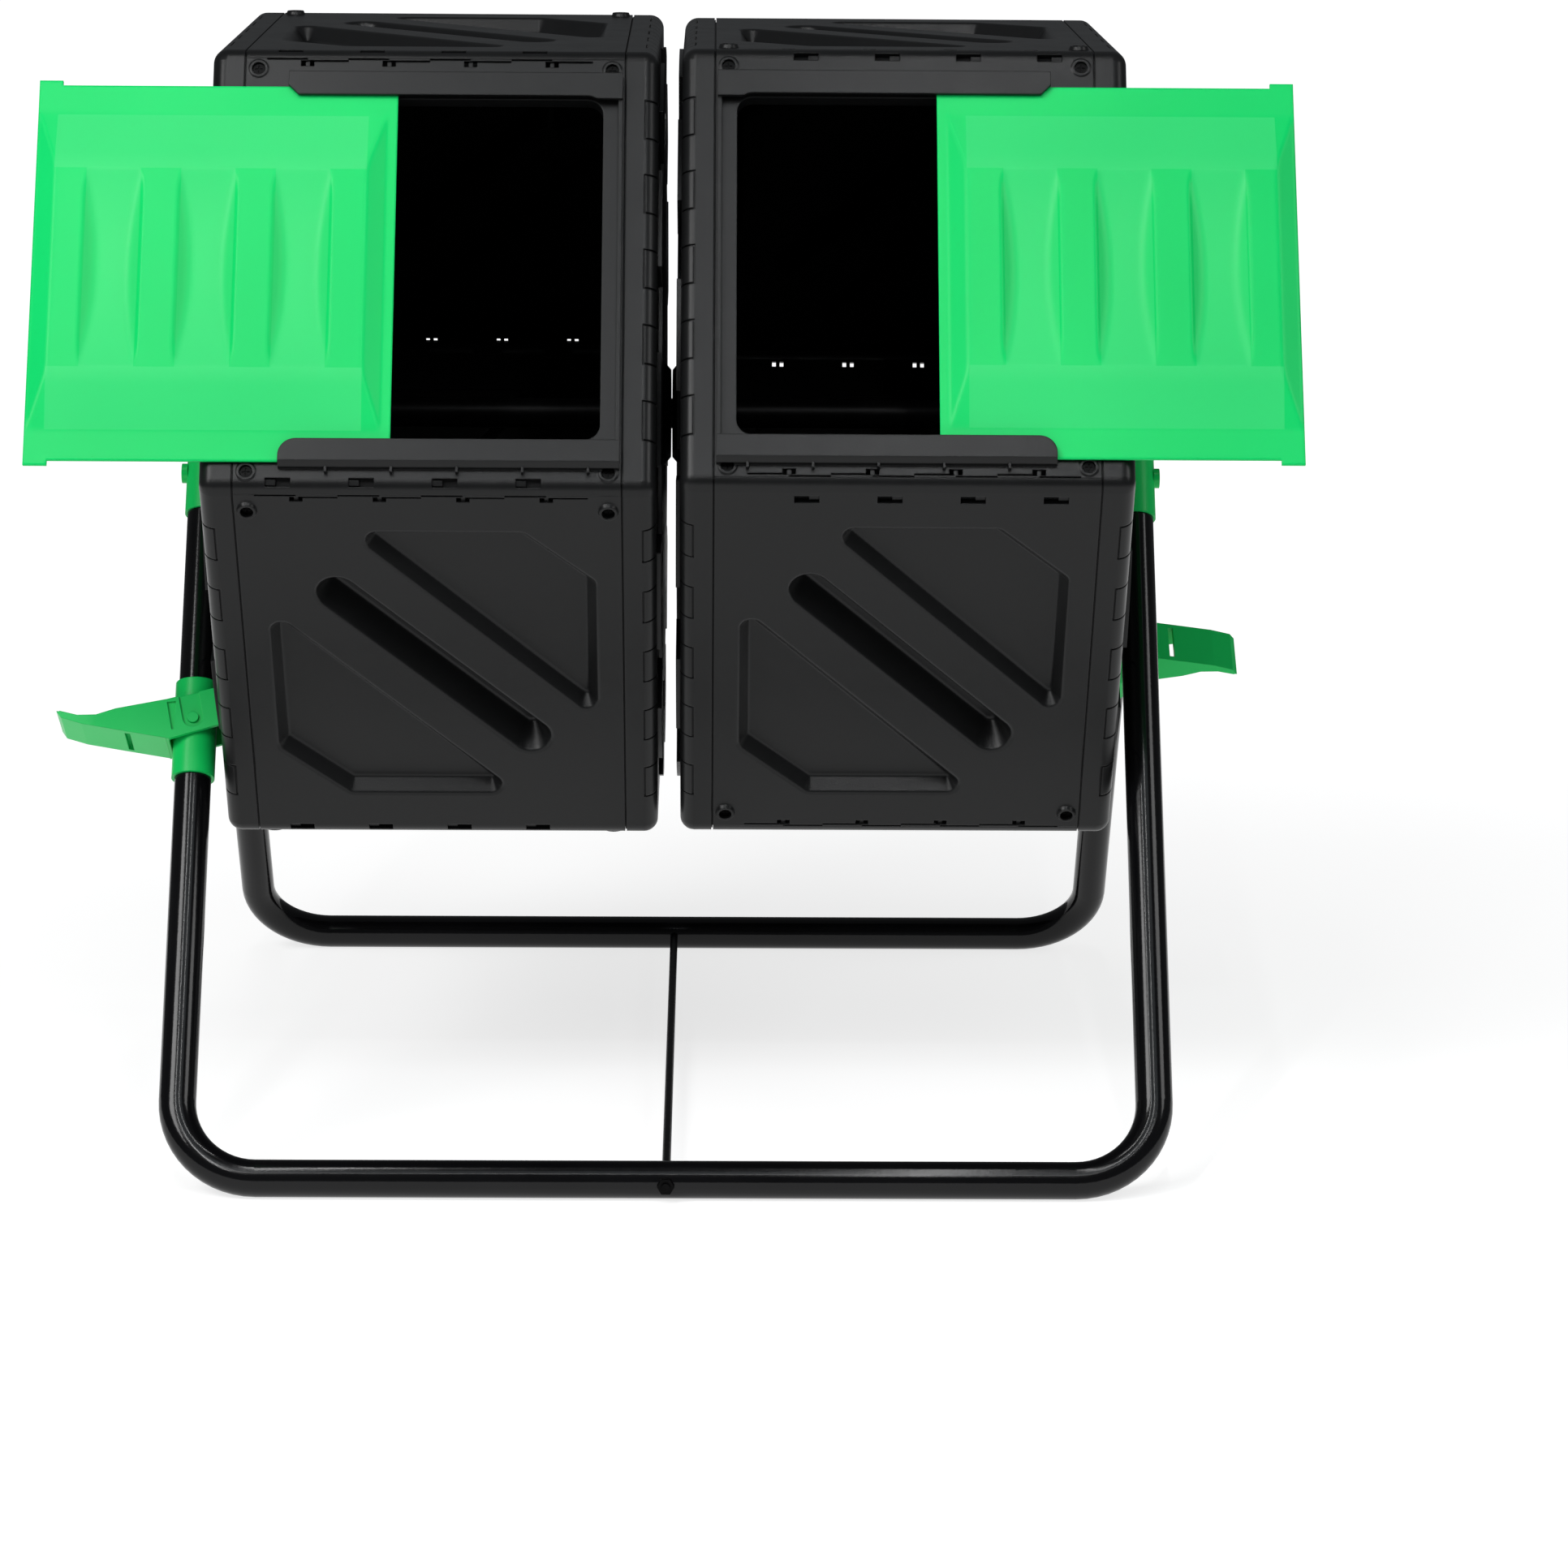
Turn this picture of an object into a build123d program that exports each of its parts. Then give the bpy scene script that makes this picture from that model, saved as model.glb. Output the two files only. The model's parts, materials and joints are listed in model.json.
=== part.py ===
from build123d import *
import math
import os

# Dual-chamber compost tumbler: two hexagonal drums side by side on one fixed axle,
# carried by two bent-tube legs.  Millimetres, +Z up, X along the axle, the doors face -Y.
# Origin: on the ground, under the middle of the axle.

# ---- driving dimensions ---------------------------------------------------------------
HEX_R = 320.0  # drum's corner radius
AXLE_Z = 494.0  # axle height above the ground
FOOT_Y = 339.5  # distance of each bottom tube from the axle's plane
TUBE_R = 13.0  # leg tube, outer radius
TUBE_WALL = 1.5
LEG_X = 338.0  # legs' centre line, from the middle
LEG_BEND_R = 56.0
LEG_TOP_GAP = 46.0  # tube ends stop this far from the axle's centre
DRUM_X = 161.5  # drum's centre, from the middle
DRUM_TILT = {"left": 0.8, "right": 0.0}  # play in the left latch lets its door side hang lower, degrees
PANEL_HALF = 130.1  # panels' half width along the axle
CAP_HALF = 153.5  # end caps' flat faces, from the drum's centre
CAP_GAP = 1.2  # open joint between an end cap's rim and the panels
CAP_GAP_DEPTH = 1.4
WALL = 3.2  # moulded wall of panels
CAP_WALL = 3.2
SPIGOT = 11.3  # how far an end cap reaches in under the panels
BEND_R = 12.0  # drum's rounded corners
CAP_EDGE_R = 10.0
SEAM = 5.5  # a panel hooks round its lower corner by this much

AXLE_R = 11.0
AXLE_BORE_R = 8.5
RUN_FIT = 0.05
BUSH_R = 16.0
COLLAR_TIP_R = 32.0
COLLAR_ROOT_R = 41.0
COLLAR_TIP = 161.0  # from the drum's centre

RELIEF = 3.0  # raised ribs on the end faces
RELIEF_R = 196.0
RELIEF_INNER_R = 56.0
GROOVE_W = 9.0  # radial grooves between the ribs
NOTCH_W = 26.0
LOCK_R = 242.0  # radius where the latch teeth meet the end face
LOCK_POCKETS = 12
LOCK_POCKET_W = 61.0
LOCK_BAND_W = 48.0
TAB_COUNT = 5  # moulded tab outlines on each side of a cap's rounded edge
TAB_PITCH = 55.0
TAB_W = 28.0
TAB_REACH = 9.0
TAB_LINE = 1.2
TAB_LINE_DEPTH = 1.3

RECESS_DEPTH = 11.0
RECESS_SLOPE = 34.0
RECESS_FLOOR_R = 3.0
RIM_R = 3.5  # rounding where a recess meets the panel's outer face
TRIANGLE_R = 9.0  # rounding of the triangular recess at its rim
SLOT_DEPTH = 22.0
SLOT_SLOPE = 26.0
SLOT_R = 14.7  # diagonal slot's end radius
SLOT_REACH = 92.5  # diagonal slot's end centres, from the panel's middle
SLOT_ANGLE = -45.6
CLIP_PITCH = 56.0
CLIP_COUNT = 4
CLIP_W = 17.0
CLIP_H = 6.0
CLIP_DEPTH = 5.6
CLIP_TONGUE = (7.0, 4.2, 3.4)  # spring tongue standing in each clip pocket
CLIP_BACK = (21.0, 8.4, 6.6)  # the block behind each clip pocket, its depth from the outer face
CLIP_INSET = {"left": 4.5, "right": 13.0}  # clip pockets, from the lower corner line
CLIP_LEAN = {"left": 13.0, "right": 0.0}  # the left drum's pockets lie on the rounded corner, degrees
SEAM_LINE = 1.3  # seam groove's width
SEAM_STEP = 2.2
SEAM_CATCH = (9.0, 4.2)
SEAM_CATCH_RIB = (3.0, 1.6)
SCREW_X = 121.5
SCREW_INSET = 19.0  # panel screws, from the panel's upper corner line
SCREW_HEAD_R = 4.0
SCREW_HEAD_H = 1.2
SCREW_SHANK_R = 1.9
SCREW_TIP = 10.9  # screw's end, below the panel's face
SCREW_POCKET_R = 4.5
SCREW_SINK = 2.4
BOSS_R = (7.2, 6.0)  # raised ring round a screw pocket, at its foot and top
BOSS_H = {"frame": 0.7, "panel": 2.6}  # the doors pass over the frame's bosses

OPENING_IN = 115.6  # door opening's edge on the side the door closes to
OPENING_OUT = 112.0
OPENING_HALF_H = 124.2
OPENING_CORNER_R = 11.0
LINING_DEPTH = 12.0
RAIL_DROP = 2.3  # both rails sit this much below the face's middle
RAIL_INNER = 124.5  # rail's lip edge, from the rails' middle line
RAIL_WALL = 140.6
RAIL_OUT_END = 100.0
RAIL_IN_END = 129.0
RAIL_T = 3.0
RAIL_TOP = 8.0
RAIL_BEVEL = 3.6  # along the lower rail's outer edge
RAIL_CHAMFER = 12.7
RAIL_END_R = 12.0
GUSSET_PITCH = 44.0
STOP_H = 5.0

DOOR_LEN = 245.5
DOOR_H = 280.0  # over the ears at the pull end
PLATE_H = 273.0
DOOR_DROP = 5.5  # the door rests on the lower rail, so its middle is this much below the face's
DOOR_T = 3.0
DOOR_SKIN = 2.6
DOOR_LIFT = 1.2  # gap between door and drum face
DOOR_OPEN = {"left": 147.0, "right": 143.5}  # how far the doors stand open
DOOR_CLOSED_LEAD = 122.0  # leading edge when shut, from the drum's centre
PLATEAU_H = 8.0
PLATEAU_FOOT = 116.0  # half height of the raised middle, at its foot and at its top
PLATEAU_TOP = 76.0
PLATEAU_LEAD = (6.5, 19.5)  # foot and top of the raised middle's leading end, from the edge
PLATEAU_TAIL = (0.8, 14.0)  # the same at the pull end
EAR_W = 16.0
NUB_SPOTS = (-108.0, 0.0, 108.0)
BAR_W = 23.2  # flat bars between the scoops
BAR_PITCH = 64.1
FIRST_BAR = 30.8  # first bar's middle, from the leading edge
SCOOP_HALF = 72.0
SCOOP_DEPTH = 7.8
SCOOP_WALL = 9.0  # how far the scoops take to reach their depth beside a bar

SLEEVE_R = 15.3
SLEEVE_LEN = 72.5
SLEEVE_DROP = 3.5  # the sleeve's middle is this much below the pivot
LATCH_DIST = 252.0  # latch pivot, from the axle along the leg
LATCH_TILT = 12.0  # released; the right lever is fitted the other way up
CHEEK_IN = 16.0
CHEEK_T = 3.0
TRUNNION_R = 4.0
LEVER_SLOT_R = 7.3  # snap-in channel round the pivot
LEVER_RECESS = 1.8
FINGER_SLOT = (47.0, 4.0, 30.0)  # distance out, width and length of the slot through the finger plate

HUB_SOCKET_R = 14.8
HUB_SOCKET_LEN = 84.0
HUB_CORE_R = 30.0
HUB_SCREW_DIST = 51.0  # hub screws, from the axle's centre along each leg
HUB_SCREW_R = 3.0
HUB_HEAD_R = 4.6
HUB_BOSS_R = 7.2
HUB_BOSS_H = 3.5
ROD_R = 3.0

# ---- derived --------------------------------------------------------------------------
APOTHEM = HEX_R * math.cos(math.radians(30))
SIDE = HEX_R
LEG_LEN = math.hypot(FOOT_Y, AXLE_Z - TUBE_R)
LEG_DIR = (FOOT_Y / LEG_LEN, (AXLE_Z - TUBE_R) / LEG_LEN)  # (Y, Z) up the front leg
HUB_OUT = LEG_X + HUB_SOCKET_R
HUB_IN = LEG_X - TUBE_R + 0.6
LEVER_REACH = CHEEK_IN + CHEEK_T


# ---- frames ---------------------------------------------------------------------------
def face_frame(index):
    """A drum face's own frame: X along the axle, Y up the face, Z outward.  Face 0 holds the door."""
    mid = math.radians(30 + 60 * index)
    outward = Vector(0, -math.cos(mid), math.sin(mid))
    return Plane(origin=outward * APOTHEM, x_dir=(1, 0, 0), z_dir=outward)


def on_face(index, shape):
    return face_frame(index).location * shape


def place_drum(shape, side):
    """A shape from the left drum's own frame goes to the left or the right drum.
    The right drum is the left one turned half round about the door face's normal."""
    if side == "right":
        shape = other_end(shape)
    x = DRUM_X if side == "right" else -DRUM_X
    return Pos(x, 0, AXLE_Z) * (Rot(DRUM_TILT[side], 0, 0) * shape)


def leg_frame(side):
    """Frame on a latch-carrying leg: X outward from the machine, Y up the leg, Z away from the drum's back."""
    if side == "left":
        centre = Vector(-LEG_X, -LEG_DIR[0] * LATCH_DIST, AXLE_Z - LEG_DIR[1] * LATCH_DIST)
        normal = Vector(0, -LEG_DIR[1], LEG_DIR[0])
        return Plane(origin=centre, x_dir=(-1, 0, 0), z_dir=normal * -1)
    centre = Vector(LEG_X, LEG_DIR[0] * LATCH_DIST, AXLE_Z - LEG_DIR[1] * LATCH_DIST)
    normal = Vector(0, LEG_DIR[1], LEG_DIR[0])
    return Plane(origin=centre, x_dir=(1, 0, 0), z_dir=normal * -1)


# ---- shared profiles ------------------------------------------------------------------
def hexagon(inset):
    """The drum's section, rounded at its corners, drawn in the plane across the axle."""
    outline = RegularPolygon(HEX_R - inset / math.cos(math.radians(30)), 6)
    corner = max(BEND_R - inset, 2.0)
    return fillet(outline.vertices(), corner)


def hex_prism(inset, x0, x1):
    return Pos(x0, 0, 0) * extrude(Plane.YZ * hexagon(inset), x1 - x0)


def hex_ring(inset, wall, x0, x1):
    return hex_prism(inset, x0, x1) - hex_prism(inset + wall, x0 - 1, x1 + 1)


def x_cylinder(radius, x0, x1):
    return Pos((x0 + x1) / 2, 0, 0) * (Rot(0, 90, 0) * Cylinder(radius, x1 - x0))


# ---- drum panels ----------------------------------------------------------------------
def panel_blank():
    """One face of the drum's skin: it hooks round its lower corner and stops short of its upper one."""
    ring = Pos(0, -APOTHEM) * (hexagon(0) - hexagon(WALL))
    turn = math.radians(60)
    lap = Vector(-SIDE / 2 - SEAM * math.cos(turn), -SEAM * math.sin(turn))
    out = Vector(-math.sin(turn), math.cos(turn))
    depth, rise = 9.0, 12.0
    upper = SIDE / 2 - SEAM
    keep = Polyline(
        (upper, rise),
        (upper, -depth),
        (-SIDE / 2 + 10, -depth),
        tuple(lap - out * depth)[:2],
        tuple(lap + out * rise)[:2],
        (-SIDE / 2 - rise, rise),
        close=True,
    )
    section = ring & make_face(keep)
    return Pos(-PANEL_HALF, 0, 0) * extrude(Plane.YZ * section, 2 * PANEL_HALF)


def pan(outline, depth, slope):
    """A moulded recess, from a function that draws its outline grown by a distance: the hollow
    to take away, and the skin that stands behind it."""
    draw_in = depth * math.tan(math.radians(slope))
    rim = outline(0.0).face()
    floor = (Pos(0, 0, -depth) * outline(-draw_in)).face()
    hollow = loft([rim, floor])
    hollow = fillet(hollow.faces().sort_by(Axis.Z)[0].edges(), RECESS_FLOOR_R)
    skin_rim = outline(WALL).face()
    skin_floor = (Pos(0, 0, -depth - WALL) * outline(WALL - draw_in)).face()
    return hollow, loft([skin_rim, skin_floor])


def triangle_outline(grow):
    """A right triangle with one corner cut off and every corner rounded."""
    core = make_face(Polyline((-35, 113), (60.6, 113), (104, 74), (104, -31), close=True))
    return offset(core, TRIANGLE_R + grow, kind=Kind.ARC)


def slot_outline(grow):
    return Rot(0, 0, SLOT_ANGLE) * SlotCenterToCenter(2 * SLOT_REACH, 2 * (SLOT_R + grow))


def clip_xs(shift):
    return [(i - (CLIP_COUNT - 1) / 2) * CLIP_PITCH + shift for i in range(CLIP_COUNT)]


def clip_pockets(side):
    """Clip pockets near the corner that a panel hooks round, and the blocks that they are sunk into."""
    tongue_w, tongue_h, tongue_t = CLIP_TONGUE
    back_w, back_h, back_depth = CLIP_BACK
    pocket = Box(CLIP_W, CLIP_H, 2 * CLIP_DEPTH)
    tongue_at = Pos((tongue_w - CLIP_W) / 2 - 1, 0, tongue_t / 2 - CLIP_DEPTH)
    pocket -= tongue_at * Box(tongue_w + 2, tongue_h, tongue_t)
    back = Pos(0, 0.3, -back_depth / 2 - 1) * Box(back_w, back_h, back_depth - 2)
    inset = CLIP_INSET[side]
    lean = Pos(0, -SIDE / 2 + inset, 0) * Rot(CLIP_LEAN[side], 0, 0)
    pockets = Compound([Pos(x, 0, 0) * lean * pocket for x in clip_xs(-16)])
    backs = [Pos(x, -SIDE / 2 + inset, 0) * back for x in clip_xs(-16)]
    return pockets, backs


def seam_marks():
    """The stepped seam line at the panel's upper edge, with an open ribbed catch at every clip."""
    edge = SIDE / 2 - SEAM
    catch_w, catch_h = SEAM_CATCH
    rib_w, rib_t = SEAM_CATCH_RIB
    catch = Box(catch_w, catch_h, 14) - Pos(0, 0, rib_t / 2 - WALL) * Box(rib_w, catch_h, rib_t)
    marks = [Pos(x, edge - catch_h / 2 - 1.8, 0) * catch for x in clip_xs(-4)]
    for x in clip_xs(-4):
        marks.append(Pos(x - CLIP_PITCH / 4, edge - SEAM_LINE / 2, 0) * Box(CLIP_PITCH / 2, SEAM_LINE, 3.4))
        marks.append(Pos(x + CLIP_PITCH / 4, edge - SEAM_STEP, 0) * Box(CLIP_PITCH / 2, SEAM_LINE, 3.4))
    return Compound(marks)


def clipped(panel, side):
    """A panel with its clip pockets and seam marks."""
    pockets, backs = clip_pockets(side)
    inner = Pos(-PANEL_HALF, 0, 0) * extrude(Plane.YZ * (Pos(0, -APOTHEM) * hexagon(WALL / 2)), 2 * PANEL_HALF)
    for back in backs:
        panel += back & inner
    return panel - pockets - seam_marks()


def screw_boss(x, y, kind):
    height = BOSS_H[kind]
    return Pos(x, y, height / 2) * Cone(*BOSS_R, height)


def screw_pocket(x, y):
    top = max(BOSS_H.values()) + 1
    pocket = Pos(x, y, (top - SCREW_SINK) / 2) * Cylinder(SCREW_POCKET_R, top + SCREW_SINK)
    return pocket + Pos(x, y, -5) * Cylinder(SCREW_SHANK_R, 12)


def panel_screw_spots():
    return [(x, SIDE / 2 - SCREW_INSET) for x in (-SCREW_X, SCREW_X)]


def frame_screw_spots():
    return [(x, y) for x in (-SCREW_X, SCREW_X) for y in (-147.9, 146.4)]


def soften_rims(panel):
    """Rounds the recess rims, the closed loops that lie in the panel's outer face."""
    top = panel.faces().filter_by(Axis.Z).sort_by(SortBy.AREA)[-1]
    rims = [w for w in top.inner_wires() if w.length > 150]
    edges = [e for w in rims for e in w.edges()]
    return fillet(edges, RIM_R)


def face_panel(side):
    triangle, triangle_skin = pan(triangle_outline, RECESS_DEPTH, RECESS_SLOPE)
    slot, slot_skin = pan(slot_outline, SLOT_DEPTH, SLOT_SLOPE)
    skins = triangle_skin + Rot(0, 0, 180) * triangle_skin + slot_skin
    hollows = triangle + Rot(0, 0, 180) * triangle + slot
    behind = Pos(0, 0, -50) * Box(2 * PANEL_HALF - 34, SIDE, 100)
    panel = panel_blank() + (skins & behind) - hollows
    panel = soften_rims(panel)
    panel = clipped(panel, side)
    for x, y in panel_screw_spots():
        panel += screw_boss(x, y, "panel")
        panel -= screw_pocket(x, y)
    return panel


def rail():
    """A guide that the door slides in: a wall with a lip over the door's edge."""
    length = RAIL_OUT_END + RAIL_IN_END
    middle = (RAIL_IN_END - RAIL_OUT_END) / 2
    wall = Pos(middle, RAIL_WALL + RAIL_T / 2, RAIL_TOP / 2) * Box(length, RAIL_T, RAIL_TOP)
    lip_w = RAIL_WALL + RAIL_T - RAIL_INNER
    lip = Pos(middle, RAIL_INNER + lip_w / 2, RAIL_TOP - RAIL_T / 2) * Box(length, lip_w, RAIL_T)
    return wall + lip


def upper_rail():
    corner = Pos(-RAIL_OUT_END, RAIL_INNER, RAIL_TOP) * (Rot(0, 0, 45) * Box(RAIL_CHAMFER, RAIL_CHAMFER * 2, 12))
    return rail() - corner


def lower_rail():
    """The lower guide, round at its outer end and held by small gussets underneath."""
    guide = rail()
    outer_edge = guide.edges().filter_by(Axis.X).group_by(Axis.Z)[-1].group_by(Axis.Y)[-1]
    guide = chamfer(outer_edge, RAIL_BEVEL)
    ends = guide.edges().filter_by(Axis.Z).group_by(Axis.X)[0].group_by(Axis.Y)[0]
    guide = fillet(ends, RAIL_END_R)
    for i in range(5):
        x = -RAIL_OUT_END + 32 + GUSSET_PITCH * i
        guide += Pos(x, RAIL_WALL + RAIL_T + 1.5, 2.5) * Box(1.8, 4, 5)
    return mirror(guide, Plane.XZ)


def rails(side):
    """Both guides.  The right drum is turned half round, so its guides start out upside down."""
    pair = Pos(0, -RAIL_DROP, 0) * (upper_rail() + lower_rail())
    return mirror(pair, Plane.XZ) if side == "right" else pair


def door_stop(side):
    """A low wall between the rails, where the shut door's edge comes to rest."""
    drop = RAIL_DROP if side == "right" else -RAIL_DROP
    return Pos(RAIL_IN_END - RAIL_T / 2, drop, STOP_H / 2) * Box(RAIL_T, 2 * RAIL_WALL, STOP_H)


def door_frame(side):
    middle = (OPENING_IN - OPENING_OUT) / 2
    gap = Pos(middle, 0) * Rectangle(OPENING_IN + OPENING_OUT, 2 * OPENING_HALF_H)
    gap = fillet(gap.vertices(), OPENING_CORNER_R)
    lining = offset(gap, RAIL_T) - gap
    panel = panel_blank() + rails(side) + door_stop(side)
    panel += Pos(0, 0, -LINING_DEPTH) * extrude(lining, LINING_DEPTH - WALL / 2)
    panel -= Pos(0, 0, -20) * extrude(gap, 30)
    panel = clipped(panel, "left")
    for x, y in frame_screw_spots():
        panel += screw_boss(x, y, "frame")
        panel -= screw_pocket(x, y)
    return panel


# ---- doors ----------------------------------------------------------------------------
def frustum(x0, x1, y, top_x0, top_x1, top_y, z0, z1):
    low = Pos((x0 + x1) / 2, 0, z0) * Rectangle(x1 - x0, 2 * y)
    high = Pos((top_x0 + top_x1) / 2, 0, z1) * Rectangle(top_x1 - top_x0, 2 * top_y)
    return loft([low.face(), high.face()])


def scoop(grow):
    """The hollow between two flat bars, as deep as a shallow arc along the door's height allows."""
    gap = BAR_PITCH - BAR_W
    profile = [(0, 3), (0, 0), (-SCOOP_WALL, -SCOOP_DEPTH), (SCOOP_WALL - gap, -SCOOP_DEPTH), (-gap, 0), (-gap, 3)]
    trough = offset(make_face(Polyline(*profile, close=True)), grow, kind=Kind.INTERSECTION)
    trough = extrude(Plane.XZ * trough, SCOOP_HALF + 20, both=True)
    arc_r = (SCOOP_HALF**2 + SCOOP_DEPTH**2) / (2 * SCOOP_DEPTH)
    drum = Pos(-gap / 2, 0, arc_r - SCOOP_DEPTH) * (Rot(0, 90, 0) * Cylinder(arc_r + grow, 2 * gap))
    return trough & drum


def door_crown():
    """The raised middle: a low frustum, hollow underneath, with scoops between flat bars."""
    lead_foot, lead_top = PLATEAU_LEAD
    tail_foot, tail_top = (-DOOR_LEN + reach for reach in PLATEAU_TAIL)
    crown = frustum(tail_foot, -lead_foot, PLATEAU_FOOT, tail_top, -lead_top, PLATEAU_TOP, DOOR_T, DOOR_T + PLATEAU_H)
    skin = 1.5 * DOOR_SKIN
    hollow = frustum(
        tail_foot + skin, -lead_foot - skin, PLATEAU_FOOT - skin,
        tail_top + skin, -lead_top - skin, PLATEAU_TOP - DOOR_SKIN, -0.01, PLATEAU_H,
    )
    for i in range(3):
        start = -FIRST_BAR - BAR_W / 2 - BAR_PITCH * i
        place = Pos(start, 0, DOOR_T + PLATEAU_H)
        hollow -= place * scoop(DOOR_SKIN)
        crown -= place * scoop(0.0)
    return crown, hollow


def door():
    """A sliding door in the door face's frame, with its leading edge at X = 0 and its body towards -X."""
    plate = Pos(-DOOR_LEN / 2, 0, DOOR_T / 2) * Box(DOOR_LEN, PLATE_H, DOOR_T)
    ears = Pos(-DOOR_LEN + EAR_W / 2, 0, DOOR_T / 2) * Box(EAR_W, DOOR_H, DOOR_T)
    ears = fillet(ears.edges().filter_by(Axis.Z).group_by(Axis.X)[0], 2.5)
    crown, hollow = door_crown()
    panel = plate + ears + crown - hollow
    for y in NUB_SPOTS:
        panel += Pos(-DOOR_LEN - 0.5, y, DOOR_T / 2) * Box(3, 4, DOOR_T)
    return panel


def placed_door(side):
    lead = DOOR_CLOSED_LEAD - DOOR_OPEN[side]
    drop = DOOR_DROP if side == "right" else -DOOR_DROP
    return place_drum(on_face(0, Pos(lead, drop, DOOR_LIFT) * door()), side)


# ---- end caps -------------------------------------------------------------------------
def relief():
    """Raised ribs on an end face, cut by radial grooves, with an outer band whose gaps take the latch teeth."""
    ring = Circle(RELIEF_R) - Circle(RELIEF_INNER_R)
    for i in range(6):
        ring -= Rot(0, 0, 60 * i) * (Pos(130, 0) * Rectangle(170, GROOVE_W))
        ring -= Rot(0, 0, 60 * i + 30) * (Pos(150, 0) * Rectangle(60, NOTCH_W))
    band = Circle(LOCK_R + LOCK_BAND_W / 2) - Circle(LOCK_R - LOCK_BAND_W / 2)
    leg_angle = math.degrees(math.atan2(LEG_DIR[1], LEG_DIR[0]))
    for i in range(LOCK_POCKETS):
        turn = 180 + leg_angle + i * 360 / LOCK_POCKETS
        pocket = Pos(LOCK_R, 0) * Rectangle(LOCK_BAND_W + 8, LOCK_POCKET_W)
        band -= Rot(0, 0, turn) * pocket
    return ring + band


def cap_block(inset):
    """The end cap's outer form, or the same form sunk in by a distance."""
    block = hex_prism(inset, -CAP_HALF + inset, -PANEL_HALF - CAP_GAP)
    edge = block.faces().sort_by(Axis.X)[0].edges()
    return fillet(edge, CAP_EDGE_R - inset)


def tab_lines():
    """Outlines of the moulded tabs along the cap's rounded edge, as narrow strips through its surface."""
    strips = []
    end = -CAP_HALF + TAB_REACH
    for face in range(6):
        for i in range(TAB_COUNT):
            y = (i - (TAB_COUNT - 1) / 2) * TAB_PITCH
            outline = Pos(end, y, 0) * Box(TAB_LINE, TAB_W, 2 * TAB_REACH)
            for edge in (-TAB_W / 2, TAB_W / 2):
                outline += Pos(end - TAB_REACH / 2, y + edge, 0) * Box(TAB_REACH + TAB_LINE, TAB_LINE, 2 * TAB_REACH)
            strips.append(on_face(face, outline))
    return Compound(strips)


def end_cap():
    """The cap at the drum's -X end, in the drum's frame."""
    block = cap_block(0)
    lines = (block - cap_block(TAB_LINE_DEPTH)) & tab_lines()
    inside = hex_prism(CAP_WALL, -CAP_HALF + CAP_WALL, -PANEL_HALF + 1)
    inner_edge = inside.faces().sort_by(Axis.X)[0].edges()
    shell = block - fillet(inner_edge, CAP_EDGE_R / 2)
    spigot = hex_ring(WALL, CAP_WALL, -PANEL_HALF - 8, -PANEL_HALF + SPIGOT)
    seam_floor = hex_ring(CAP_GAP_DEPTH, WALL, -PANEL_HALF - CAP_GAP - 1, -PANEL_HALF - 0.3)
    cap = shell + seam_floor + spigot - lines
    cap += Pos(-CAP_HALF - RELIEF, 0, 0) * extrude(Plane.YZ * relief(), RELIEF + 0.5)
    collar = Pos(-(CAP_HALF + COLLAR_TIP) / 2, 0, 0) * (
        Rot(0, -90, 0) * Cone(COLLAR_ROOT_R, COLLAR_TIP_R, COLLAR_TIP - CAP_HALF)
    )
    cap += collar
    cap += x_cylinder(BUSH_R + 5, -CAP_HALF, -PANEL_HALF + 4)
    cap -= x_cylinder(BUSH_R, -COLLAR_TIP - 1, -PANEL_HALF + 5)
    return cap


def other_end(shape):
    """The same piece turned half round about the door face's normal, for the drum's other end."""
    return shape.rotate(Axis((0, 0, 0), tuple(face_frame(0).z_dir)), 180)


def cap_screw_holes():
    holes = []
    for face in range(1, 6):
        holes += [on_face(face, screw_pocket(x, y)) for x, y in panel_screw_spots()]
    holes += [on_face(0, screw_pocket(x, y)) for x, y in frame_screw_spots()]
    return Compound(holes)


def bushing():
    """A plain bush pressed into the cap's hub, running on the axle."""
    body = x_cylinder(BUSH_R, -COLLAR_TIP + 0.3, -PANEL_HALF + 4)
    return body - x_cylinder(AXLE_R + RUN_FIT, -COLLAR_TIP - 1, -PANEL_HALF + 6)


def panel_screw():
    """A cross-head screw, from the panel's outer face inward."""
    top = SCREW_HEAD_H - SCREW_SINK
    head = Pos(0, 0, top - SCREW_HEAD_H / 2) * Cylinder(SCREW_HEAD_R, SCREW_HEAD_H)
    head -= Pos(0, 0, top) * (Box(5, 0.9, 1.2) + Box(0.9, 5, 1.2))
    shank_len = SCREW_TIP - SCREW_SINK
    return head + Pos(0, 0, -SCREW_SINK - shank_len / 2) * Cylinder(SCREW_SHANK_R, shank_len)


def panel_screws():
    screw = panel_screw()
    spots = [(0, x, y) for x, y in frame_screw_spots()]
    spots += [(face, x, y) for face in range(1, 6) for x, y in panel_screw_spots()]
    return [on_face(face, Pos(x, y, 0) * screw) for face, x, y in spots]


# ---- frame ----------------------------------------------------------------------------
def leg_bend():
    """A U of round tube: a bottom bar on the ground with a leg at each end, drawn in its own plane."""
    top = LEG_LEN - LEG_TOP_GAP
    path = FilletPolyline(
        (-LEG_X, top, 0), (-LEG_X, 0, 0), (LEG_X, 0, 0), (LEG_X, top, 0), radius=LEG_BEND_R
    )
    start = Plane(origin=(-LEG_X, top, 0), z_dir=(0, -1, 0))
    ring = Circle(TUBE_R) - Circle(TUBE_R - TUBE_WALL)
    return sweep(start * ring, path=path)


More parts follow.
